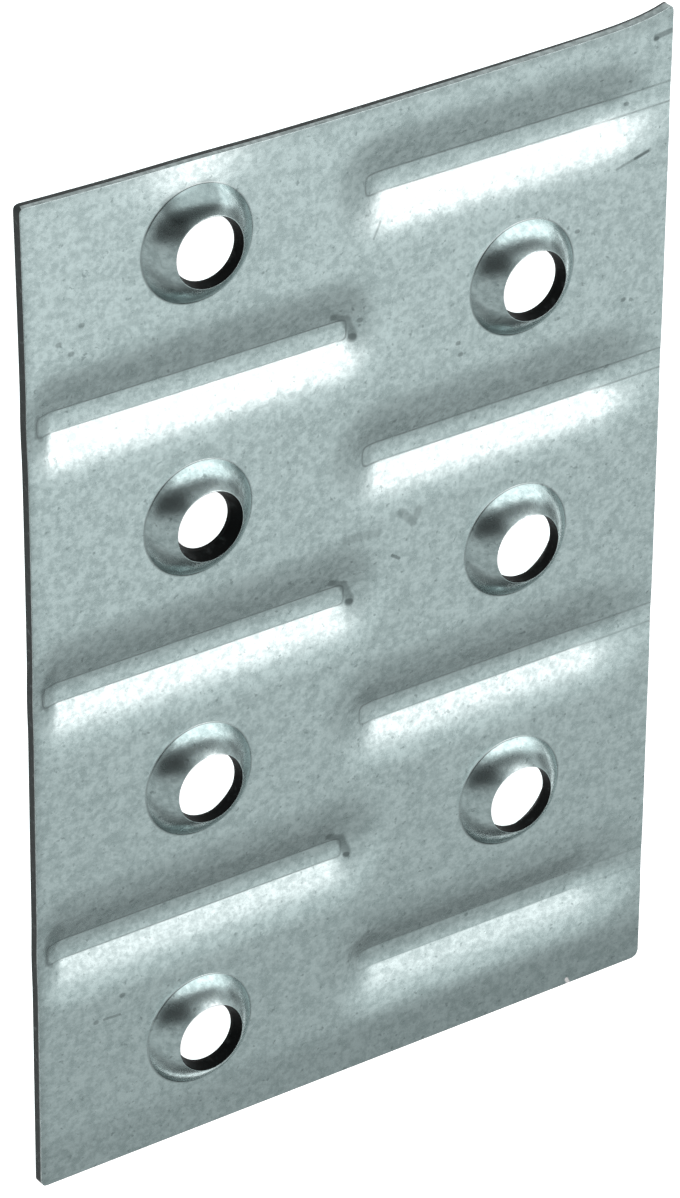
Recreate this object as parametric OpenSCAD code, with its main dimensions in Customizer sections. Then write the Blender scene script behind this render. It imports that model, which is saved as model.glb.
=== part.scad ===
// Truss nail plate: one pressed sheet of galvanised steel.
// The plate lies flat with its dimpled face up. X runs across it and Y along it. The origin is the
// middle of its outline, at the height of its lowest point, under the bead beside the curled corner.

/* [Sheet] */
// Width of the plate
plate_w = 50; // [48:0.5:60]
// Length of the plate, up to the straight part of its top edge
plate_l = 74; // [34:1:154]
// Thickness of the sheet
sheet_t = 0.8; // [0.6:0.05:1.2]
// Radius of the sheared corners
corner_r = 0.4; // [0.2:0.1:0.8]

/* [Layout] */
// Distance from one row to the next, where each row has one nail hole and one bead
row_pitch = 10; // [10:0.5:14]
// From the top edge to the first row
top_margin = 5.8; // [5.2:0.1:9]
// Least distance from the last row to the bottom edge
bottom_margin = 6; // [5.2:0.1:9]
// From the left edge to the left column of nail holes
left_margin = 12.7; // [12:0.1:14]
// Distance between the two columns of nail holes
col_pitch = 25.5; // [24:0.5:27]

/* [Nail holes] */
// Diameter of a nail hole
hole_d = 5; // [4:0.1:5.5]
// Diameter of the foot of a dimple
dimple_d = 8.3; // [7.5:0.1:8.8]
// Height of a dimple's rim above the face
dimple_h = 1.5; // [0.8:0.1:2]
// Half of the angle through which a dimple's side rounds over
dimple_turn = 14; // [5:1:20]

/* [Beads] */
// Depth to which a bead is pressed
bead_depth = 0.6; // [0.2:0.05:0.8]
// Width of the flat bottom of a bead
bead_w = 1.5; // [1:0.1:2]
// Length over which a flank flares back to the face
flank_l = 3.8; // [2:0.1:3.9]
// From the middle of the plate to the rounded end of a bead's flat bottom
inner_gap = 1.1; // [0.8:0.1:2.5]
// Length of the flat bottom of a bead
bead_l = 21.6; // [18:0.1:21.8]

/* [Distortion from pressing and shearing] */
// Depth to which the top left corner curls back
corner_curl = 0.7; // [0:0.05:1]
// Rise of the top edge at the right corner
corner_rise = 0.95; // [0:0.05:1.5]
// Depth to which the top edge sags above the first dimple
edge_sag = 0.25; // [0:0.05:0.4]

/* [Hidden] */
$fn = 64;

// Outline, centred with its raised corner
left_x = -plate_w / 2;
right_x = plate_w / 2;
bottom_y = -(plate_l + corner_rise) / 2;
top_y = bottom_y + plate_l;

// Rows and columns
rows = 1 + floor((plate_l - top_margin - bottom_margin) / row_pitch);
left_col = left_x + left_margin;
right_col = left_col + col_pitch;
mid_x = (left_col + right_col) / 2;

// The top edge stays straight up to rise_from, then lifts gently and, close to the corner, steeply.
rise_from = mid_x;
gentle_share = 0.2;
steep_power = 12;

// The top left corner curls back from here down, and from the middle of the plate across.
curl_l = 35;

// Sag above the first dimple: its half width along the edge, and its reach down from the edge
sag_w = 3.6;
sag_l = 2.4;

// Share of a flank that slopes straight up from the bead before it eases out into the face
flank_straight = 0.4;

// Fractions of a flank at which the sheet has a line of points
flank_steps = [0, flank_straight, 0.6, 0.8, 1];
// Fewer of them beyond the outer end of a bead
outer_steps = [0, 0.2, flank_straight, 0.6];
// Other lines across the plate, as distances from the middle of it
free_steps = [0.4, 4.3, 6.8, 9.7, 12.75, 15.8, 18.5];
// Lines closer together than this are made one.
least_step = 0.12;
// The pressed sheet is made this much wider than the outline, and trimmed to it.
trim = 1;

quarter_turn = 90;

function clamp01(t) = min(max(t, 0), 1);

// Rows are counted from the top. Even rows have their hole on the left and their bead on the right.
function row_y(row) = top_y - top_margin - row * row_pitch;
function on_left(row) = row % 2 == 0;
function hole_x(row) = on_left(row) ? left_col : right_col;

// A bead's centre line, as distances from the middle of the plate
bead_from = inner_gap + bead_w / 2;
bead_to = inner_gap + bead_l - bead_w / 2;

// Share of a bead's full depth at a distance from its flat bottom
function flank(dist) =
    let (t = clamp01(dist / flank_l))
    t < flank_straight
        ? 1 - 2 * t / (1 + flank_straight)
        : pow(1 - t, 2) / (1 - pow(flank_straight, 2));

// Depth of one row's bead at a point. The same flank runs along its sides and round its ends.
function bead(row, x, y) =
    let (along = on_left(row) ? x - mid_x : mid_x - x)
    let (past = max(0, bead_from - along, along - bead_to))
    bead_depth * flank(norm([past, y - row_y(row)]) - bead_w / 2);

// Curl of the top left corner away from the face
function curl(x, y) =
    corner_curl * pow(max(0, (mid_x - x) / (mid_x - left_x)), 2)
    * pow(max(0, 1 - (top_y - y) / curl_l), 2);

// Sag of the narrow web between the first dimple and the top edge
function sag(x, y) =
    edge_sag * exp(-pow((x - left_col) / sag_w, 2)) * pow(clamp01(1 - (top_y - y) / sag_l), 2);

// Height of the pressed sheet at a point, where the flat face is 0
function pressed(x, y) =
    -max([for (row = [0:rows - 1]) bead(row, x, y)]) - curl(x, y) - sag(x, y);

function sorted(list) =
    len(list) < 2 ? list : let (pivot = list[floor(len(list) / 2)])
    concat(sorted([for (v = list) if (v < pivot) v]), pivot, sorted([for (v = list) if (v > pivot) v]));
function spaced(list) =
    [for (i = [0:len(list) - 1]) if (i == 0 || list[i] - list[i - 1] > least_step) list[i]];
function mirrored(list) = [for (i = [len(list) - 1:-1:0]) -list[i]];

// Lines of points across the plate and along it, in rising order
half_lines = spaced(sorted(concat(
    free_steps,
    [inner_gap, bead_from, abs(flank_l - inner_gap), bead_to],
    [for (s = outer_steps) inner_gap + bead_l + s * flank_l])));
grid_x = concat(
    [left_x - trim],
    [for (d = mirrored(half_lines)) if (mid_x + d > left_x + least_step) mid_x + d],
    [for (d = half_lines) if (mid_x + d < right_x - least_step) mid_x + d],
    [right_x + trim]);
flank_lines = [for (s = flank_steps) bead_w / 2 + s * flank_l];
grid_y = spaced(sorted(concat(
    [bottom_y - trim],
    [for (row = [0:rows - 1]) for (d = concat(mirrored(flank_lines), flank_lines)) row_y(row) + d],
    [top_y - sag_l / 2, top_y, top_y + corner_rise + trim])));
columns = len(grid_x);
lines = len(grid_y);

// The lowest point of the pressed sheet, inside its outline, comes to rest at z = 0.
lowest = min([for (x = grid_x) for (y = grid_y) pressed(max(x, left_x), min(y, top_y))]);
face_z = sheet_t - lowest;

// Dimple profile: an arc from the foot at the face to the rim at the hole
rim_run = (dimple_d - hole_d) / 2;
rim_slope = atan2(dimple_h, rim_run);
foot_angle = quarter_turn - rim_slope - dimple_turn;
rim_angle = quarter_turn - rim_slope + dimple_turn;
arc_r = norm([rim_run, dimple_h]) / (2 * sin(dimple_turn));
arc_centre = [dimple_d / 2 - arc_r * cos(foot_angle), -arc_r * sin(foot_angle)];
arc_steps = 8;
inner_arc_r = arc_r - sheet_t;
inner_foot_angle = asin((-sheet_t - arc_centre[1]) / inner_arc_r);
inner_rim_angle = acos((hole_d / 2 - arc_centre[0]) / inner_arc_r);
// How far a dimple's foot reaches into the sheet, and its hollow below the sheet
foot_share = 0.3;
foot_in = foot_share * sheet_t;

function arc(r, from, to) =
    [for (i = [0:arc_steps]) let (a = from + (to - from) * i / arc_steps)
        arc_centre + r * [cos(a), sin(a)]];

// How far the outline draws in from its long edges at a rounded corner
function corner_drop(x) =
    let (in = max(0, abs(x) - (plate_w / 2 - corner_r))) corner_r - sqrt(max(0, corner_r * corner_r - in * in));

// Rise of the top edge toward the right corner
function edge_rise(x) =
    let (t = clamp01((x - rise_from) / (right_x - rise_from)))
    corner_rise * (gentle_share * pow(t, 2) + (1 - gentle_share) * pow(t, steep_power));

// Places across the outline: close together round the corners and over the rise
corner_turn = quarter_turn / 4;
rise_step = 1.2;
corner_in = [for (a = [quarter_turn:-corner_turn:0]) corner_r * (1 - sin(a))];
outline_x = concat(
    [for (d = corner_in) left_x + d],
    [for (x = [rise_from:rise_step:right_x - 2 * corner_r]) x],
    [for (i = [len(corner_in) - 1:-1:0]) right_x - corner_in[i]]);

module outline() {
    top = [for (x = outline_x) [x, top_y + edge_rise(x) - corner_drop(x)]];
    bottom = [for (i = [len(outline_x) - 1:-1:0])
        let (x = outline_x[i]) if (x < rise_from || x > right_x - corner_r) [x, bottom_y + corner_drop(x)]];
    polygon(concat(top, bottom));
}

// The sheet with its beads, as two grids of points joined round the rim
module pressed_sheet() {
    face = [for (y = grid_y) for (x = grid_x) [x, y, face_z + pressed(x, y)]];
    back = [for (p = face) p - [0, 0, sheet_t]];
    size = len(face);
    cells = [for (j = [0:lines - 2]) for (i = [0:columns - 2]) j * columns + i];
    rim = concat(
        [for (i = [0:columns - 2]) i],
        [for (j = [0:lines - 2]) j * columns + columns - 1],
        [for (i = [columns - 1:-1:1]) (lines - 1) * columns + i],
        [for (j = [lines - 1:-1:1]) j * columns]);
    polyhedron(
        points = concat(face, back),
        faces = concat(
            [for (c = cells) each [[c, c + columns, c + columns + 1], [c, c + columns + 1, c + 1]]],
            [for (c = cells) each [[c + size, c + columns + 1 + size, c + columns + size],
                [c + size, c + 1 + size, c + columns + 1 + size]]],
            [for (i = [0:len(rim) - 1]) let (a = rim[i], b = rim[(i + 1) % len(rim)])
                each [[a, b, b + size], [a, b + size, a + size]]]));
}

// The raised ring of a dimple, with its foot sunk in the sheet
module dimple() {
    foot = dimple_d / 2 + foot_in * tan(foot_angle);
    rotate_extrude()
        polygon(concat(
            [[0, -foot_in], [foot, -foot_in]],
            arc(arc_r, foot_angle, rim_angle),
            [[0, dimple_h]]));
}

// The hollow under a dimple
module hollow() {
    below = -sheet_t - foot_in;
    edge = arc_centre[0] + inner_arc_r * cos(inner_foot_angle);
    top = arc_centre[1] + inner_arc_r * sin(inner_rim_angle);
    rotate_extrude()
        polygon(concat(
            [[0, below], [edge + foot_in * tan(inner_foot_angle), below]],
            arc(inner_arc_r, inner_foot_angle, inner_rim_angle),
            [[0, top]]));
}

// Places its children at each dimple, on the face of the sheet
module at_dimples() {
    for (row = [0:rows - 1])
        translate([hole_x(row), row_y(row), face_z + pressed(hole_x(row), row_y(row))])
            children();
}

module nail_plate() {
    color([0.68, 0.71, 0.70])
        difference() {
            union() {
                intersection() {
                    pressed_sheet();
                    translate([0, 0, -trim])
                        linear_extrude(height = face_z + 2 * trim)
                            outline();
                }
                at_dimples()
                    dimple();
            }
            at_dimples()
                hollow();
            at_dimples()
                translate([0, 0, -sheet_t])
                    cylinder(h = dimple_h + 2 * sheet_t, d = hole_d);
        }
}

nail_plate();
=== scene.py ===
import math

import bpy
import numpy as np
from mathutils import Matrix, Vector


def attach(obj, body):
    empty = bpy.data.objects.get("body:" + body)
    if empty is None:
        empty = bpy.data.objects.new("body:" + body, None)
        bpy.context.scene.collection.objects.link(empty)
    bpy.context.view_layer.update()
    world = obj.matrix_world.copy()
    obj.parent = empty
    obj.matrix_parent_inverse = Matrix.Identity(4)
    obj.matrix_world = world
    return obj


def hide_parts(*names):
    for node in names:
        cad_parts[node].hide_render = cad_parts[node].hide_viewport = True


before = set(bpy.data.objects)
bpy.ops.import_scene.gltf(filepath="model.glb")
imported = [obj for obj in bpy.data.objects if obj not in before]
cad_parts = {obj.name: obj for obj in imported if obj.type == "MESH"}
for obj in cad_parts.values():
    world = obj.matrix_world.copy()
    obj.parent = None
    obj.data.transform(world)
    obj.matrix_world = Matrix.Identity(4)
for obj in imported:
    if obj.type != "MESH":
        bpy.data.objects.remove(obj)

# Sizes and places are in millimetres. The origin is on the floor, in the middle of the outline with its
# raised corner. FACE_Z is the height of the flat face when the lowest bead lies on the floor. The sizes
# in this first group are as in the CAD, but for the worn corner.
MM = 0.001  # metres
LEFT_X, RIGHT_X = -25.0, 25.0
TOP_Y, BOTTOM_Y = 36.525, -37.475
MID_Y = (TOP_Y + BOTTOM_Y) / 2
FACE_Z = 1.5692
SHEET_T = 0.8
CORNER_R, WORN_CORNER_R = 0.4, 0.65
ROWS = 7
ROW_PITCH = 10.0
TOP_MARGIN = 5.8
LEFT_COL, RIGHT_COL = -12.3, 13.2
MID_X = 0.45
HOLE_R = 2.5
DIMPLE_R = 4.15
DIMPLE_H = 1.5
DIMPLE_TURN = 14.0

# Beads: their section, where they begin and end, counted from the line MID_X between them, and how steep
# their outer ends are, 1 being as steep as a flank
BEAD_DEPTH = 0.6
BEAD_HALF_W = 0.75
HOLLOW_SHARE = 0.05
FLANK_L, FLANK_STRAIGHT = 3.8, 0.4
BEAD_FROM = 1.85
RIGHT_BEAD_TO, RIGHT_SQUEEZE = 18.3, 0.57
LEFT_BEAD_TO, LEFT_SQUEEZE = 23.2, 1.5

# Distortion: the curled corner, the risen corner, and the sheet pulled up by the first dimple
CORNER_CURL, CURL_L = 0.7, 35.0
CORNER_RISE, GENTLE_SHARE, STEEP_POWER, RISE_STRIP = 0.95, 0.2, 12, 2.0
EDGE_DIP, PULL, PULL_W, PULL_L, PULL_POWER = 0.11, 0.28, 4.2, 2.6, 1.5
SAG_FROM, SAG_FADE = 5.0, 8.0

# Small roundings, and the holes' backs, row by row: how far the wall leans in, and the burr's length
LIP = 0.08
FOOT_FILLET = 0.07
ROLL, ROLL_SLOPE, ROLL_END = 0.04, 0.8, 0.98
BACK_RIMS = ((0.2, 0.05), (0.18, 0.15), (0.45, 0.5), (0.05, 0.0), (0.1, 0.0), (0.05, 0.0), (0.3, 0.25))

# The smooth upper share of the cut wall: on the top edge's left half and at its right end, and on the
# other edges at the top and at the bottom
BURNISH_TOP, BURNISH_RIGHT, BURNISH_HIGH, BURNISH_LOW = 0.5, 0.8, 0.04, 0.2
TOP_EDGE_REACH = 0.05
# The lines down the cut wall: the share of the smooth part, then the share of the rough part
CUT_LINES = ((0.5, 0), (1, 0), (1, 0.5), (1, 0.9))

# Mesh: the lines' spacing and least gap, half of a dimple's square block, and closer lines at the bends
STEP, LINE_GAP = 0.56, 0.012
BLOCK = 5.0
ROLL_SHARES = (0.0, 0.15, 0.4, 0.7, 1.0, 1.8)
CORNER_LINES = (0.15, 0.25, 0.4, 0.6, 0.8)
CREASE_SHARES = (-0.09, -0.03, 0.0, 0.03, 0.09, 0.2, 0.4, 0.7, 1.1, 1.6, 2.3, 3.0, 3.8)
BEAD_LINES = (-BLOCK, -0.35, 0.0, 0.35, BLOCK)
LEFT_END_STEP, LEFT_END_TO = 0.2, 3.0
OUTER_STEPS, INNER_STEPS, FOOT_STEPS, LIP_STEPS, WALL_STEPS = 22, 10, 5, 6, 5
BLOCK_SHARES, UNDER_SHARES = (0.75, 0.5, 0.25, 0.08), (0.1, 0.5)

# Material slots, and the point of a rim's rounding where the painted shade of the hole's wall and of the
# hollow behind begins
FACE, EDGE, HOLE_SHADE, BURNISHED = 0, 1, 2, 3
DARK_FROM = 2

# Painted shade as fine lines along the creases round the beads' flat bottoms: from, to and width, on the
# left and on the right, and how squarely they end. Those on the right lie higher near the edge and fade
# toward the bottom.
LEFT_LINE, RIGHT_LINE = (LEFT_X + 0.85, -0.45, 0.1), (0.9, RIGHT_X + 2, 0.13)
SLOT_POWER = 4.0
LINE_BEND, LINE_BEND_FROM, LINE_BEND_TO = 0.4, 19.0, RIGHT_X + 0.5
LINE_FADE = (-32.0, 8.0, 0.35, 1.0)
# Painted shade round the dimples' feet: how far out it lies, the width of its core and its half width
RING_OUT, RING_CORE, RING_HALF_W = 0.03, 0.02, 0.12

# Marks: how much of one's width is at full strength, and how long a spot is
MARK_CORE, SPOT_L = 0.4, 0.1
# Painted shade at the ends of the left beads: row, and width of the spot at the inner corner
BEAD_END_SHADE_ROWS = ((1, 0.42), (3, 0.36), (5, 0.28))
# Straight marks on this one plate: from, to, width and strength. The last is painted shade on the upper
# flank of the first dimple.
MARKS = (
    ((20.75, 26.5), (23.3, 27.15), 0.14, 0.45),
    ((22.3, 26.9), (23.4, 27.18), 0.22, 0.4),
    ((23.6, 35.4), (24.8, 35.55), 0.3, 0.6),
    ((1.3, 27.05), (1.9, 28.05), 0.12, 0.4),
    ((3.1, 2.8), (3.65, 2.4), 0.16, 0.6),
    ((-19.9, -25.7), (-18.7, -25.75), 0.15, 0.45),
    ((-0.6, 5.2), (1.9, 4.9), 0.5, 0.25),
    # Painted shade on the upper flank of the first dimple
    ((-14.2, 33.8), (-11.7, 34.25), 1.1, 0.7))
# Spots on this one plate: places, width and strength
SPOTS = (
    (((17.6, 22.8), (8.1, 17.3), (8.3, 16.4), (21.6, 16.5), (21.6, 30.9), (23.6, 35.25)), 0.22, 0.55),
    (((-22.6, 26.4), (-21.7, 25.5), (-20.9, 27.3), (-20.6, -25.7), (-18.5, -24.3), (0.45, 21.2)),
     0.25, 0.5))
MOST_WEAR_AND_SHADE = 0.85

# Colours: the zinc's mottle and specks, painted shade at the beads' creases and the dimples' feet,
# scratches and painted shade at the bead ends, painted shade along the edges, the torn and the smooth
# part of the cut wall, the holes' walls in near-black painted shade, and light
ZINC_DARK, ZINC_PALE = (0.415, 0.53, 0.53, 1), (0.59, 0.73, 0.73, 1)
SPECK, CREASE_SHADE, FOOT_SHADE = (0.26, 0.34, 0.34, 1), (0.16, 0.2, 0.2, 1), (0.2, 0.25, 0.25, 1)
WORN_AND_SHADED, EDGE_SHADE = (0.1, 0.135, 0.135, 1), (0.5, 0.51, 0.51, 1)
TORN_DARK, TORN_PALE = (0.02, 0.025, 0.025, 1), (0.12, 0.14, 0.14, 1)
SMOOTH_DARK, SMOOTH_PALE = (0.14, 0.17, 0.17, 1), (0.22, 0.26, 0.26, 1)
HOLE_SHADE_DARK, HOLE_SHADE_PALE = (0.004, 0.005, 0.005, 1), (0.03, 0.034, 0.034, 1)
WHITE, LAMP_TINT = (1, 1, 1, 1), (1.2, 1, 1, 1)

# Surroundings, in metres: half of the floor's width, half of the panel's, and the panel's height
FLOOR_HALF = 6.0
PANEL_HALF, PANEL_Z = 2.4, 0.5
# Zones of the panel, in millimetres: from, to and softness along x, then the same along y
LAMP = ((155, 410, 170), (-127, 181, 76))
SCREEN = ((122, 471, 234), (-392, -145, 23))
DARK_ZONE = ((-980, -55, 130), (55, 640, 95))
DARK_BAND = ((-73, 700, 115), (340, 650, 60))

# The photograph's view, from a camera model fitted to the plate's outline and holes
SENSOR_W, FOCAL = 36.0, 201.76
CAMERA_AT = Vector((-218.351, 229.976, 313.885))
CAMERA_BACK = Vector((-0.48920, 0.51596, 0.70318))
CAMERA_RIGHT = Vector((0.82392, 0.00893, 0.56664))


def smooth(t):
    """A smooth step from 0 to 1."""
    t = np.clip(t, 0, 1)
    return t * t * (3 - 2 * t)


def row_y(row):
    """Where the centre line of a row is, counted from the top."""
    return TOP_Y - TOP_MARGIN - row * ROW_PITCH


def on_left(row):
    """Whether the row's hole is on the left, and so its bead on the right."""
    return row % 2 == 0


def hole_x(row):
    """Where the middle of the row's hole is."""
    return LEFT_COL if on_left(row) else RIGHT_COL


def flank(dist):
    """Share of a bead's depth at a distance from its centre line."""
    t = np.clip((dist - BEAD_HALF_W) / FLANK_L, 0, 1)
    straight = 1 - 2 * t / (1 + FLANK_STRAIGHT)
    easing = (1 - t) ** 2 / (1 - FLANK_STRAIGHT**2)
    hollow = HOLLOW_SHARE * (1 - np.clip(dist / BEAD_HALF_W, 0, 1) ** 2)
    return np.where(t < FLANK_STRAIGHT, straight, easing) + hollow


def beads(x, y):
    """Depth of the beads. Those on the left end near the edge, and those on the right run out gently."""
    deepest = np.zeros(np.broadcast(x, y).shape)
    for row in range(ROWS):
        if on_left(row):
            along = x - MID_X
            past = np.maximum(BEAD_FROM - along, (along - RIGHT_BEAD_TO) * RIGHT_SQUEEZE)
        else:
            along = MID_X - x
            past = np.maximum(BEAD_FROM - along, (along - LEFT_BEAD_TO) * LEFT_SQUEEZE)
        deepest = np.maximum(deepest, flank(np.hypot(np.maximum(past, 0), y - row_y(row))))
    return BEAD_DEPTH * deepest


def curl(x, y):
    """How far the top left corner curls down."""
    across = np.clip((MID_X - x) / (MID_X - LEFT_X), 0, 1)
    along = np.clip(1 - (TOP_Y - y) / CURL_L, 0, 1)
    return CORNER_CURL * across**2 * along**2


def sag(x, y):
    """How far the edge above the first dimple dips, less how far the sheet below it is pulled up."""
    near = np.exp(-(((x - LEFT_COL) / PULL_W) ** 2))
    pulled = 1 - np.clip(1 - (TOP_Y - y) / PULL_L, 0, 1) ** PULL_POWER
    fade = 1 - smooth((TOP_Y - y - SAG_FROM) / SAG_FADE)
    return near * fade * (EDGE_DIP - PULL * pulled)


def sheet_z(x, y):
    """Height of the face of the sheet, where the dimples aren't."""
    return FACE_Z - beads(x, y) - curl(x, y) - sag(x, y)


def edge_rise(x):
    """How far the top edge rises to the right corner."""
    t = np.clip((x - MID_X) / (RIGHT_X - MID_X), 0, 1)
    return CORNER_RISE * (GENTLE_SHARE * t**2 + (1 - GENTLE_SHARE) * t**STEEP_POWER)


def spread(start, end, step):
    """Evenly spaced lines from start to end, both included."""
    return np.linspace(start, end, max(1, math.ceil((end - start) / step - 1e-6)) + 1)


def unique(values):
    """The lines in order, without those that all but coincide."""
    values = np.sort(np.concatenate(values))
    return values[np.append(True, np.diff(values) > LINE_GAP)]


def column_lines():
    """The x of the mesh's lines along the plate."""
    stops = [LEFT_X, LEFT_COL - BLOCK, LEFT_COL + BLOCK, RIGHT_COL - BLOCK, RIGHT_COL + BLOCK, RIGHT_X]
    lines = [spread(a, b, STEP) for a, b in zip(stops, stops[1:])]
    roll = ROLL * np.array(ROLL_SHARES)
    lines += [LEFT_X + roll, RIGHT_X - roll, RIGHT_X - np.array(CORNER_LINES)]
    return unique(lines + [LEFT_X + spread(LEFT_END_STEP, LEFT_END_TO, LEFT_END_STEP)])


def row_lines():
    """The y of the mesh's lines across the plate."""
    lines = []
    crease = BEAD_HALF_W + np.array(CREASE_SHARES)
    for row in range(ROWS):
        lines += [row_y(row) + crease, row_y(row) - crease, row_y(row) + np.array(BEAD_LINES)]
    roll = ROLL * np.array(ROLL_SHARES)
    lines += [spread(BOTTOM_Y, row_y(ROWS - 1) - BLOCK, STEP), BOTTOM_Y + roll, TOP_Y - roll]
    lines += [BOTTOM_Y + np.array(CORNER_LINES), TOP_Y - np.array(CORNER_LINES[:3])]
    return unique(lines)


def rounded_corner(x, y):
    """Moves points of a square corner onto a round one. The lower right corner is worn rounder."""
    radius = np.where((x > 0) & (y < MID_Y), WORN_CORNER_R, CORNER_R)
    a = np.clip((abs(x) - (RIGHT_X - radius)) / radius, 0, 1)
    b = np.clip((abs(y - MID_Y) - (TOP_Y - MID_Y - radius)) / radius, 0, 1)
    dx = radius * a * (1 - np.sqrt(1 - b * b / 2))
    dy = radius * b * (1 - np.sqrt(1 - a * a / 2))
    return x - np.sign(x) * dx, y - np.sign(y - MID_Y) * dy


def raised_edge(x, y):
    """Stretches the strip above the first row up to the edge that rises to the right."""
    share = np.clip((y - (TOP_Y - RISE_STRIP)) / RISE_STRIP, 0, 1)
    return y + edge_rise(x) * share


def roll_drop(x, y):
    """How far the face rounds over at the sheared edges."""
    near = np.minimum(np.minimum(x - LEFT_X, RIGHT_X - x), np.minimum(y - BOTTOM_Y, TOP_Y - y))
    t = np.clip(1 - near / ROLL, 0, 1)
    return ROLL * ROLL_SLOPE * (1 - np.sqrt(1 - ROLL_END * t * t))


def dimple_arc(radius_off, steps, lean=0.0):
    """Radii and heights along a dimple's outer arc, or its inner one when radius_off is the sheet."""
    run = DIMPLE_R - HOLE_R
    slope = math.atan2(DIMPLE_H, run)
    turn = math.radians(DIMPLE_TURN)
    r = math.hypot(run, DIMPLE_H) / (2 * math.sin(turn))
    foot, rim = math.pi / 2 - slope - turn, math.pi / 2 - slope + turn
    centre = np.array([DIMPLE_R - r * math.cos(foot), -r * math.sin(foot)])
    r -= radius_off
    if radius_off:
        foot = math.asin((-radius_off - centre[1]) / r)
        rim = math.acos((HOLE_R - lean - centre[0]) / r)
    angles = np.linspace(foot, rim, steps)
    return centre + r * np.stack([np.cos(angles), np.sin(angles)], 1)


def rounded(a, corner, b, radius, steps):
    """Points of a small fillet at the corner between a and b."""
    ua = (a - corner) / np.linalg.norm(a - corner)
    ub = (b - corner) / np.linalg.norm(b - corner)
    t = np.linspace(0, 1, steps)[:, None]
    start, end = corner + ua * radius, corner + ub * radius
    return start * (1 - t) ** 2 + corner * 2 * t * (1 - t) + end * t**2


def dimple_profile(row):
    """Radii and heights over the dimple, down the hole and out behind, and where the painted shade of
    the hole's wall begins.
    """
    lean, burr = BACK_RIMS[row]
    outer = dimple_arc(0, OUTER_STEPS)
    inner = dimple_arc(SHEET_T, INNER_STEPS, lean)[::-1]
    inner[0, 1] -= burr
    flat = np.array([DIMPLE_R + 1, 0.0])
    foot = rounded(flat, outer[0], outer[1], FOOT_FILLET, FOOT_STEPS)
    rim = rounded(outer[-2], outer[-1], inner[0], LIP, LIP_STEPS)
    wall = np.linspace(rim[-1], inner[0], WALL_STEPS)[1:-1]
    side = [p for p in outer[1:-1] if foot[-1][0] > p[0] > rim[0][0]]
    return np.array([*foot, *side, *rim, *wall, *inner[:-1]]), len(foot) + len(side) + DARK_FROM


class Builder:
    """Gathers the points and faces of one mesh."""

    def __init__(self):
        self.points, self.faces, self.slots = [], [], []

    def add(self, x, y, z):
        """Adds points and returns their numbers, in the shape of x."""
        first = sum(len(p) for p in self.points)
        block = np.stack([np.ravel(x), np.ravel(y), np.ravel(z)], 1)
        self.points.append(block)
        return first + np.arange(len(block)).reshape(np.shape(x))

    def strip(self, a, b, slot):
        """Quads between two closed or open lines of point numbers."""
        quads = np.stack([a[:-1], a[1:], b[1:], b[:-1]], 1)
        self.faces.append(quads)
        self.slots.append(np.full(len(quads), slot))

    def mesh(self, name):
        mesh = bpy.data.meshes.new(name)
        faces = np.concatenate(self.faces)
        points = np.concatenate(self.points) * MM
        mesh.vertices.add(len(points))
        mesh.vertices.foreach_set("co", points.astype(np.float32).ravel())
        mesh.loops.add(faces.size)
        mesh.loops.foreach_set("vertex_index", faces.astype(np.int32).ravel())
        mesh.polygons.add(len(faces))
        mesh.polygons.foreach_set("loop_start", np.arange(0, faces.size, 4, dtype=np.int32))
        mesh.polygons.foreach_set("loop_total", np.full(len(faces), 4, np.int32))
        mesh.polygons.foreach_set("material_index", np.concatenate(self.slots).astype(np.int32))
        mesh.update(calc_edges=True)
        mesh.validate()
        mesh.shade_smooth()
        return mesh


def grid_face(build, xs, ys, below, flip):
    """One side of the sheet as a grid without its dimple blocks. Returns the point numbers."""
    x, y = np.meshgrid(xs, ys)
    px, py = rounded_corner(x, y)
    z = sheet_z(px, py) - below - (0 if below else roll_drop(x, y))
    ids = build.add(px, raised_edge(px, py), z)
    in_block = np.zeros((len(ys) - 1, len(xs) - 1), bool)
    cx, cy = (xs[1:] + xs[:-1]) / 2, (ys[1:] + ys[:-1]) / 2
    for row in range(ROWS):
        in_block |= np.outer(abs(cy - row_y(row)) < BLOCK, abs(cx - hole_x(row)) < BLOCK)
    a, b, c, d = ids[:-1, :-1], ids[:-1, 1:], ids[1:, 1:], ids[1:, :-1]
    quads = np.stack([a, d, c, b] if flip else [a, b, c, d], -1)[~in_block]
    build.faces.append(quads)
    build.slots.append(np.full(len(quads), FACE))
    return ids


def block_ring(ids, xs, ys, row):
    """Point numbers round a dimple's block, anticlockwise and closed."""
    i0, i1 = (int(np.argmin(abs(xs - hole_x(row) - s * BLOCK))) for s in (-1, 1))
    j0, j1 = (int(np.argmin(abs(ys - row_y(row) - s * BLOCK))) for s in (-1, 1))
    return np.concatenate([
        ids[j0, i0:i1], ids[j0:j1, i1], ids[j1, i1:i0:-1], ids[j1:j0:-1, i0], ids[j0:j0 + 1, i0]])


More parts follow.
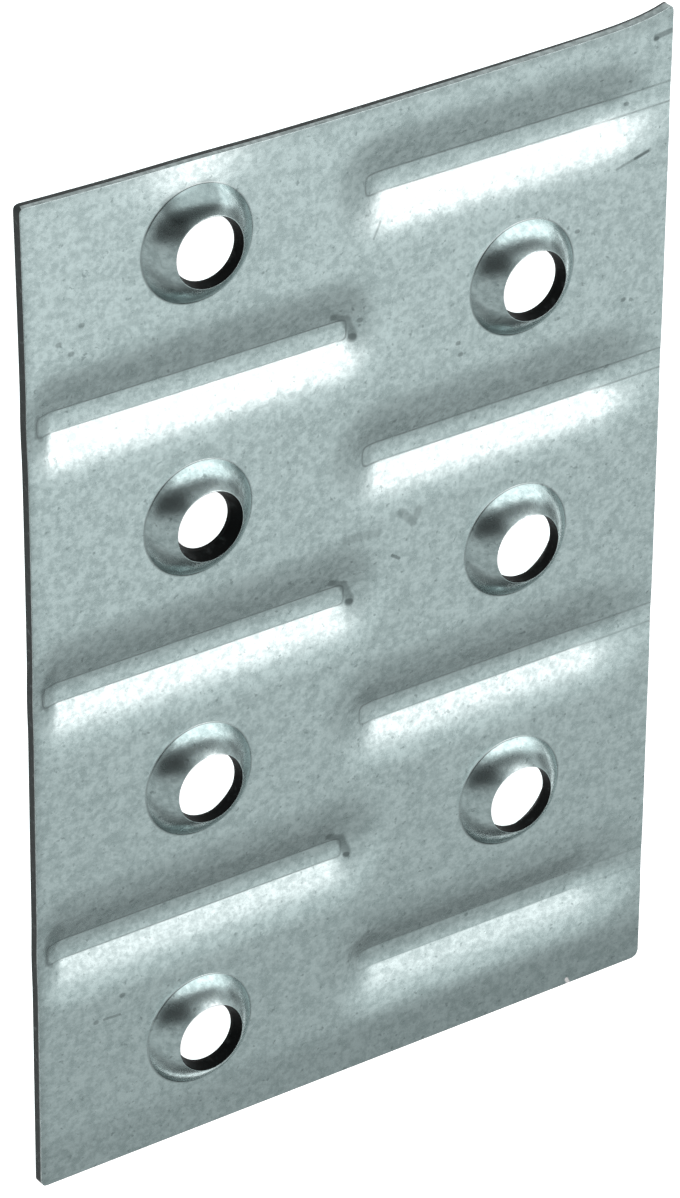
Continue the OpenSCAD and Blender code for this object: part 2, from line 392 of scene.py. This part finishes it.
def dimple(build, front, back, xs, ys, row):
    """The dimple of one row, from the face over the rim and down to the back."""
    ring = block_ring(front, xs, ys, row)
    under = block_ring(back, xs, ys, row)
    place = np.concatenate(build.points)[ring]
    cx, cy = hole_x(row), row_y(row)
    square = place[:, :2] - [cx, cy]
    round_ = square / np.linalg.norm(square, axis=1)[:, None]
    profile, shade_from = dimple_profile(row)
    outer_r, inner_r = profile[0][0], profile[-1][0]
    lines = [ring]
    for t in BLOCK_SHARES:
        p = round_ * outer_r * (1 - t) + square * t + [cx, cy]
        lines.append(build.add(p[:, 0], p[:, 1], sheet_z(p[:, 0], p[:, 1])))
    first = len(lines)
    for r, h in profile:
        p = round_ * r + [cx, cy]
        lines.append(build.add(p[:, 0], p[:, 1], sheet_z(p[:, 0], p[:, 1]) + h))
    for t in UNDER_SHARES:
        p = round_ * inner_r * (1 - t) + square * t + [cx, cy]
        lines.append(build.add(p[:, 0], p[:, 1], sheet_z(p[:, 0], p[:, 1]) - SHEET_T))
    lines.append(under)
    for k, (a, b) in enumerate(zip(lines, lines[1:])):
        # The rim's inner part, the hole's wall and the hollow behind take the near-black painted shade
        in_shade = first + shade_from <= k < first + len(profile) - 1
        build.strip(a, b, HOLE_SHADE if in_shade else FACE)


def rim_ring(ids):
    """Point numbers round the outside of the sheet, anticlockwise and closed."""
    return np.concatenate([ids[0, :-1], ids[:-1, -1], ids[-1, :0:-1], ids[::-1, 0]])


def smooth_share(x, y):
    """How much of the cut wall's height is smooth, from place to place."""
    down = np.clip((TOP_Y - y) / (TOP_Y - BOTTOM_Y), 0, 1)
    at_top = BURNISH_TOP + (BURNISH_RIGHT - BURNISH_TOP) * np.clip(x / RIGHT_X, 0, 1)
    at_sides = BURNISH_HIGH + (BURNISH_LOW - BURNISH_HIGH) * down
    return np.where(y > TOP_Y - TOP_EDGE_REACH, at_top, at_sides)


def sheared_edge(build, front, back):
    """The cut wall between the two faces: a smooth upper part and a torn lower one."""
    top, low = rim_ring(front), rim_ring(back)
    points = np.concatenate(build.points)
    smooth_part = smooth_share(points[top][:, 0], points[top][:, 1])
    previous = top
    for share, cut in CUT_LINES:
        t = (smooth_part * share * (1 - cut) + cut)[:, None]
        p = points[top] * (1 - t) + points[low] * t
        line = build.add(p[:, 0], p[:, 1], p[:, 2])
        line[-1] = line[0]
        build.strip(line, previous, EDGE if cut else BURNISHED)
        previous = line
    build.strip(low, previous, EDGE)


def plate_mesh():
    """The sheet with its beads, dimples, holes and cut edges."""
    xs, ys = column_lines(), row_lines()
    build = Builder()
    front = grid_face(build, xs, ys, 0.0, False)
    back = grid_face(build, xs, ys, SHEET_T, True)
    for row in range(ROWS):
        dimple(build, front, back, xs, ys, row)
    sheared_edge(build, front, back)
    return build.mesh("plate")


# Materials
class Nodes:
    """Short ways to make the nodes of one material."""

    def __init__(self, tree):
        self.tree = tree

    def new(self, kind, **values):
        node = self.tree.nodes.new(kind)
        for key, value in values.items():
            setattr(node, key, value)
        return node

    def feed(self, socket, value):
        """Links another node's output to the socket, or sets the socket to a constant."""
        if isinstance(value, bpy.types.NodeSocket):
            self.tree.links.new(value, socket)
        else:
            socket.default_value = value

    def math(self, operation, a, b=0.0, c=0.0):
        node = self.new("ShaderNodeMath", operation=operation)
        for socket, value in zip(node.inputs, (a, b, c)):
            self.feed(socket, value)
        return node.outputs[0]

    def plus(self, a, b):
        return self.math("ADD", a, b)

    def minus(self, a, b):
        return self.math("SUBTRACT", a, b)

    def times(self, a, b):
        return self.math("MULTIPLY", a, b)

    def times_plus(self, a, factor, b):
        return self.math("MULTIPLY_ADD", a, factor, b)

    def larger(self, a, b):
        return self.math("MAXIMUM", a, b)

    def size(self, a):
        return self.math("ABSOLUTE", a)

    def length(self, a, b):
        """The length of the vector whose parts are a and b."""
        return self.math("POWER", self.plus(self.times(a, a), self.times(b, b)), 0.5)

    def ramp(self, value, low, high, at_low=0.0, at_high=1.0):
        node = self.new("ShaderNodeMapRange", interpolation_type="SMOOTHSTEP")
        for socket, v in zip(node.inputs, (value, low, high, at_low, at_high)):
            self.feed(socket, v)
        return node.outputs[0]

    def mix(self, share, a, b, blend="MIX"):
        node = self.new("ShaderNodeMix", data_type="RGBA", blend_type=blend)
        self.feed(node.inputs["Factor"], share)
        self.feed(node.inputs["A"], a)
        self.feed(node.inputs["B"], b)
        return node.outputs["Result"]

    def noise(self, vector, scale, detail, roughness):
        node = self.new("ShaderNodeTexNoise")
        self.feed(node.inputs["Vector"], vector)
        node.inputs["Scale"].default_value = scale
        node.inputs["Detail"].default_value = detail
        node.inputs["Roughness"].default_value = roughness
        return node.outputs["Fac"]

    def place(self):
        """The point in millimetres, in the plate's own frame: the vector, x, y."""
        coord = self.new("ShaderNodeTexCoord")
        scale = self.new("ShaderNodeVectorMath", operation="SCALE")
        self.feed(scale.inputs[0], coord.outputs["Object"])
        scale.inputs["Scale"].default_value = 1 / MM
        split = self.new("ShaderNodeSeparateXYZ")
        self.feed(split.inputs[0], scale.outputs[0])
        return scale.outputs[0], split.outputs[0], split.outputs[1]


def new_material(name):
    material = bpy.data.materials.new(name)
    material.use_nodes = True
    material.node_tree.nodes.clear()
    nodes = Nodes(material.node_tree)
    shader = nodes.new("ShaderNodeBsdfPrincipled")
    out = nodes.new("ShaderNodeOutputMaterial")
    nodes.feed(out.inputs["Surface"], shader.outputs[0])
    return material, nodes, shader


def from_row(nodes, y, row):
    """How far y is above the nearest row that is like this one."""
    return nodes.math("WRAP", nodes.minus(y, row_y(row)), ROW_PITCH, -ROW_PITCH)


def crease_shade_line(nodes, x, y, row, start, end, width):
    """1 on the painted shade line along the crease round the flat bottom of each bead on the same side
    as this row's.
    """
    mid, half_l = (start + end) / 2, (end - start) / 2 - BEAD_HALF_W
    along = nodes.larger(nodes.minus(nodes.size(nodes.minus(x, mid)), half_l), 0.0)
    across = nodes.size(from_row(nodes, y, row))
    total = nodes.plus(nodes.math("POWER", along, SLOT_POWER), nodes.math("POWER", across, SLOT_POWER))
    off = nodes.size(nodes.minus(nodes.math("POWER", total, 1 / SLOT_POWER), BEAD_HALF_W))
    return nodes.ramp(off, 0.0, width, 1.0, 0.0)


def bead_crease_shade(nodes, x, y):
    """1 on the painted shade lines along the creases round the flat bottoms of all beads."""
    left = crease_shade_line(nodes, x, y, 1, *LEFT_LINE)
    lowered = nodes.plus(y, nodes.ramp(x, LINE_BEND_FROM, LINE_BEND_TO, 0.0, -LINE_BEND))
    right = nodes.times(crease_shade_line(nodes, x, lowered, 0, *RIGHT_LINE), nodes.ramp(y, *LINE_FADE))
    on_right = nodes.math("GREATER_THAN", x, 0.0)
    return nodes.plus(nodes.times(left, nodes.minus(1.0, on_right)), nodes.times(right, on_right))


def foot_crease_shade(nodes, x, y):
    """1 on the painted shade line round the foot of each dimple."""
    rings = []
    for row in (0, 1):
        reach = nodes.length(nodes.minus(x, hole_x(row)), from_row(nodes, y, row))
        off = nodes.size(nodes.minus(reach, DIMPLE_R + RING_OUT))
        rings.append(nodes.ramp(off, RING_CORE, RING_HALF_W, 1.0, 0.0))
    past_last = (row_y(ROWS - 1) + row_y(ROWS)) / 2
    return nodes.times(nodes.larger(*rings), nodes.math("GREATER_THAN", y, past_last))


def mark(nodes, x, y, start, end, width):
    """1 along a straight mark from start to end."""
    run, rise = end[0] - start[0], end[1] - start[1]
    length2 = run * run + rise * rise
    dx, dy = nodes.minus(x, start[0]), nodes.minus(y, start[1])
    along = nodes.plus(nodes.times(dx, run / length2), nodes.times(dy, rise / length2))
    along = nodes.math("MINIMUM", nodes.larger(along, 0.0), 1.0)
    off_x = nodes.minus(dx, nodes.times(along, run))
    off_y = nodes.minus(dy, nodes.times(along, rise))
    return nodes.ramp(nodes.length(off_x, off_y), width * MARK_CORE, width, 1.0, 0.0)


def bent_mark(nodes, x, y, places, widths):
    """1 along a mark with one bend, through three places."""
    first, second = (mark(nodes, x, y, *places[i:i + 2], widths[i]) for i in (0, 1))
    return nodes.larger(first, second)


def spot(nodes, x, y, place, width):
    """1 on a small round spot."""
    return mark(nodes, x, y, place, (place[0] + SPOT_L, place[1]), width)


def bead_end_shade(nodes, x, y):
    """How dark the painted shade is in the spots at the left beads' inner ends and the lines at their
    outer ends.
    """
    total = 0.0
    for row, width in BEAD_END_SHADE_ROWS:
        mid = row_y(row)
        corner = spot(nodes, x, y, (-0.12, mid - 0.72), width)
        inner = ((-1.5, mid + 1.2), (-0.5, mid + 0.75), (0.0, mid - 0.5))
        outer = ((-24.1, mid + 0.75), (-24.15, mid - 0.5), (-23.75, mid - 0.85))
        total = nodes.times_plus(bent_mark(nodes, x, y, inner, (0.35, 0.45)), 0.5, total)
        total = nodes.times_plus(bent_mark(nodes, x, y, outer, (0.3, 0.25)), 0.33, total)
        total = nodes.times_plus(corner, 0.6, total)
    return total


def wear_and_shade(nodes, x, y):
    """How dark the plate's own scratches, specks and smudges are, with the painted shade at the left
    beads' ends and on the first dimple.
    """
    total = bead_end_shade(nodes, x, y)
    for start, end, width, strength in MARKS:
        total = nodes.times_plus(mark(nodes, x, y, start, end, width), strength, total)
    smudge = bent_mark(nodes, x, y, ((3.8, 5.9), (4.8, 4.8), (5.2, 5.7)), (0.45, 0.4))
    total = nodes.times_plus(smudge, 0.35, total)
    for places, width, strength in SPOTS:
        for place in places:
            total = nodes.times_plus(spot(nodes, x, y, place, width), strength, total)
    return nodes.math("MINIMUM", total, MOST_WEAR_AND_SHADE)


def galvanised():
    """Mottled zinc with specks, scratches and smudges, and painted shade along the beads' creases, round
    the dimples' feet, at the left beads' ends, on the first dimple and along the lower, left and top
    edges.
    """
    material, nodes, shader = new_material("galvanised")
    point, x, y = nodes.place()
    fine = nodes.noise(point, 2.3, 3.0, 0.6)
    broad = nodes.noise(point, 0.9, 3.0, 0.6)
    mottle = nodes.plus(nodes.times(fine, 0.65), nodes.times(broad, 0.35))
    colour = nodes.mix(nodes.ramp(mottle, 0.36, 0.64), ZINC_DARK, ZINC_PALE)
    specks = nodes.ramp(nodes.noise(point, 2.0, 2.0, 0.6), 0.63, 0.75)
    colour = nodes.mix(nodes.times(specks, 0.75), colour, SPECK)
    # Painted shade along the beads' creases
    line = nodes.times(bead_crease_shade(nodes, x, y), nodes.ramp(fine, 0.35, 0.65, 0.35, 0.75))
    colour = nodes.mix(line, colour, CREASE_SHADE)
    # Painted shade round the dimples' feet
    ring = nodes.times(foot_crease_shade(nodes, x, y), nodes.ramp(fine, 0.35, 0.65, 0.15, 0.5))
    colour = nodes.mix(ring, colour, FOOT_SHADE)
    # Scratches, specks and smudges, and painted shade at the left beads' ends and on the first dimple
    colour = nodes.mix(wear_and_shade(nodes, x, y), colour, WORN_AND_SHADED)
    # Painted shade along the lower edge, stronger to the right, and along the left and top edges
    low_edge_shade = nodes.ramp(y, BOTTOM_Y + 2.2, BOTTOM_Y + 4.6, 1.0, 0.0)
    low_edge_shade = nodes.times(low_edge_shade, nodes.ramp(x, -18.0, 14.0, 0.3, 0.62))
    colour = nodes.mix(low_edge_shade, colour, EDGE_SHADE, "MULTIPLY")
    left_edge_shade = nodes.ramp(x, LEFT_X, LEFT_X + 0.7, 0.35, 0.0)
    top_edge_shade = nodes.ramp(y, TOP_Y - 0.9, TOP_Y + 0.1, 0.0, 0.35)
    colour = nodes.mix(nodes.larger(left_edge_shade, top_edge_shade), colour, EDGE_SHADE, "MULTIPLY")
    nick = mark(nodes, x, y, (18.9, BOTTOM_Y), (18.7, BOTTOM_Y + 0.4), 0.2)
    nodes.feed(shader.inputs["Base Color"], nodes.mix(nick, colour, WHITE))
    shader.inputs["Metallic"].default_value = 1.0
    nodes.feed(shader.inputs["Roughness"], nodes.ramp(mottle, 0.3, 0.7, 0.28, 0.23))
    bump = nodes.new("ShaderNodeBump")
    bump.inputs["Strength"].default_value = 0.35
    bump.inputs["Distance"].default_value = 0.02 * MM
    nodes.feed(bump.inputs["Height"], fine)
    nodes.feed(shader.inputs["Normal"], bump.outputs[0])
    return material


def flecked(name, noise, low, high, dark, pale):
    """A material of two colours. The noise's scale, detail and roughness are given, and its range."""
    material, nodes, shader = new_material(name)
    fleck = nodes.ramp(nodes.noise(nodes.place()[0], *noise), low, high)
    nodes.feed(shader.inputs["Base Color"], nodes.mix(fleck, dark, pale))
    return material, shader


def sheared():
    """The lower part of the cut wall, which the shear tore."""
    material, shader = flecked("sheared_edge", (1.6, 4.0, 0.7), 0.54, 0.78, TORN_DARK, TORN_PALE)
    shader.inputs["Metallic"].default_value = 0.3
    shader.inputs["Roughness"].default_value = 0.6
    shader.inputs["Specular IOR Level"].default_value = 0.1
    return material


def burnished():
    """The upper part of the cut wall, which the shear left smooth."""
    material, shader = flecked("burnished_edge", (2.5, 3.0, 0.6), 0.4, 0.65, SMOOTH_DARK, SMOOTH_PALE)
    shader.inputs["Metallic"].default_value = 1.0
    shader.inputs["Roughness"].default_value = 0.45
    return material


# Painted shade: near-black for the hole's cut wall and the zinc hollow behind the rim, darker than torn
# steel and zinc really are
def hole_wall_shade():
    material, shader = flecked("hole_wall_shade", (1.2, 3.0, 0.6), 0.55, 0.8, HOLE_SHADE_DARK, HOLE_SHADE_PALE)
    shader.inputs["Metallic"].default_value = 0.3
    shader.inputs["Roughness"].default_value = 0.6
    shader.inputs["Specular IOR Level"].default_value = 0.05
    return material


def plate():
    """The plate, with a material for each slot in turn: the zinc face, the torn edge, the painted shade
    of the holes' walls, and the burnished edge.
    """
    mesh = plate_mesh()
    piece = bpy.data.objects.new("plate", mesh)
    bpy.context.scene.collection.objects.link(piece)
    mesh.materials.append(galvanised())
    mesh.materials.append(sheared())
    mesh.materials.append(hole_wall_shade())
    mesh.materials.append(burnished())
    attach(piece, "root")
    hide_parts("nail_plate")
    return piece


# Surroundings
def flat_square(name, half, z, face):
    """A flat square round the middle of the plate, in metres."""
    corner_points = [(-half, -half, z), (half, -half, z), (half, half, z), (-half, half, z)]
    mesh = bpy.data.meshes.new(name)
    mesh.from_pydata(corner_points, [], [face])
    piece = bpy.data.objects.new(name, mesh)
    bpy.context.scene.collection.objects.link(piece)
    return piece


def floor():
    floor_piece = flat_square("floor", FLOOR_HALF, 0, (0, 1, 2, 3))
    material, _, shader = new_material("pale_floor")
    shader.inputs["Base Color"].default_value = (0.9, 0.9, 0.9, 1)
    shader.inputs["Roughness"].default_value = 0.9
    shader.inputs["Specular IOR Level"].default_value = 0.1
    shader.inputs["Emission Color"].default_value = WHITE
    shader.inputs["Emission Strength"].default_value = 1.0
    floor_piece.data.materials.append(material)


def between(nodes, value, low, high, soft):
    """1 where the value is from low to high, with soft edges."""
    rise = nodes.ramp(value, low - soft, low + soft)
    return nodes.times(rise, nodes.ramp(value, high - soft, high + soft, 1.0, 0.0))


def zone(nodes, x, y, spans):
    """1 in one zone of the panel, with soft edges."""
    return nodes.times(between(nodes, x, *spans[0]), between(nodes, y, *spans[1]))


def dimmed(nodes, light, share, amount):
    """The light, less an amount of it where the share is 1."""
    return nodes.times(light, nodes.times_plus(share, -amount, 1.0))


def panel_light(nodes):
    """How bright the panel is from place to place, and where its lamp is."""
    _, x, y = nodes.place()
    lamp = zone(nodes, x, y, LAMP)
    light = nodes.times_plus(lamp, 2.7, 0.43)
    light = nodes.times_plus(zone(nodes, x, y, SCREEN), 0.48, light)
    far_right = nodes.times(nodes.ramp(x, 517, 574), between(nodes, y, -901, 80, 26))
    light = nodes.times_plus(far_right, 0.14, light)
    light = nodes.times(light, nodes.ramp(y, -1350, -800, 0.25, 1.0))
    light = dimmed(nodes, light, zone(nodes, x, y, DARK_ZONE), 0.98)
    light = dimmed(nodes, light, zone(nodes, x, y, DARK_BAND), 0.9)
    right_end = nodes.times(nodes.ramp(x, 1134, 1384), between(nodes, y, -300, 412, 95))
    light = dimmed(nodes, light, right_end, 0.9)
    low_left = nodes.times(nodes.ramp(x, -300, 100, 1.0, 0.0), nodes.ramp(y, -200, 60, 1.0, 0.0))
    light = nodes.times_plus(low_left, 0.11, light)
    top = nodes.ramp(nodes.times_plus(x, 0.15, y), 600, 740)
    top = nodes.times(top, nodes.ramp(x, -650, -100))
    return nodes.times_plus(top, 1.35, light), lamp


def panel():
    """A big soft panel above the plate, brighter in some places and dark where the camera stands."""
    piece = flat_square("panel", PANEL_HALF, PANEL_Z, (3, 2, 1, 0))
    material = bpy.data.materials.new("panel_light")
    material.use_nodes = True
    material.node_tree.nodes.clear()
    nodes = Nodes(material.node_tree)
    glow = nodes.new("ShaderNodeEmission")
    light, lamp = panel_light(nodes)
    nodes.feed(glow.inputs["Strength"], light)
    nodes.feed(glow.inputs["Color"], nodes.mix(lamp, WHITE, LAMP_TINT))
    out = nodes.new("ShaderNodeOutputMaterial")
    nodes.feed(out.inputs["Surface"], glow.outputs[0])
    piece.data.materials.append(material)
    piece.visible_camera = False
    piece.visible_shadow = False


def studio():
    """The room beyond the panel, bright past the top of the plate and dark past its lower right."""
    world = bpy.data.worlds.new("studio")
    bpy.context.scene.world = world
    world.use_nodes = True
    nodes = Nodes(world.node_tree)
    coord = nodes.new("ShaderNodeTexCoord")
    split = nodes.new("ShaderNodeSeparateXYZ")
    nodes.feed(split.inputs[0], coord.outputs["Generated"])
    x, y = split.outputs[0], split.outputs[1]
    bright = nodes.ramp(nodes.times_plus(x, 0.17, y), 0.1, 0.7)
    dark = nodes.ramp(nodes.times_plus(x, 0.5, nodes.times(y, -0.866)), 0.3, 0.9)
    strength = nodes.times_plus(bright, 0.9, nodes.times_plus(dark, -0.45, 0.5))
    background = world.node_tree.nodes["Background"]
    background.inputs["Color"].default_value = WHITE
    nodes.feed(background.inputs["Strength"], strength)


def camera():
    """The photograph's angle: from the upper left, looking down on the plate."""
    data = bpy.data.cameras.new("camera")
    data.sensor_width = SENSOR_W
    data.lens = FOCAL
    data.clip_start, data.clip_end = 0.01, 20.0
    view = bpy.data.objects.new("camera", data)
    bpy.context.scene.collection.objects.link(view)
    back = CAMERA_BACK.normalized()
    up = back.cross(CAMERA_RIGHT.normalized()).normalized()
    turn = Matrix((up.cross(back), up, back)).transposed().to_4x4()
    view.matrix_world = Matrix.Translation(CAMERA_AT * MM) @ turn
    bpy.context.scene.camera = view


def colours():
    settings = bpy.context.scene.view_settings
    settings.view_transform = "Standard"
    settings.look = "None"


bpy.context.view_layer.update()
camera()
plate()
floor()
panel()
studio()
colours()
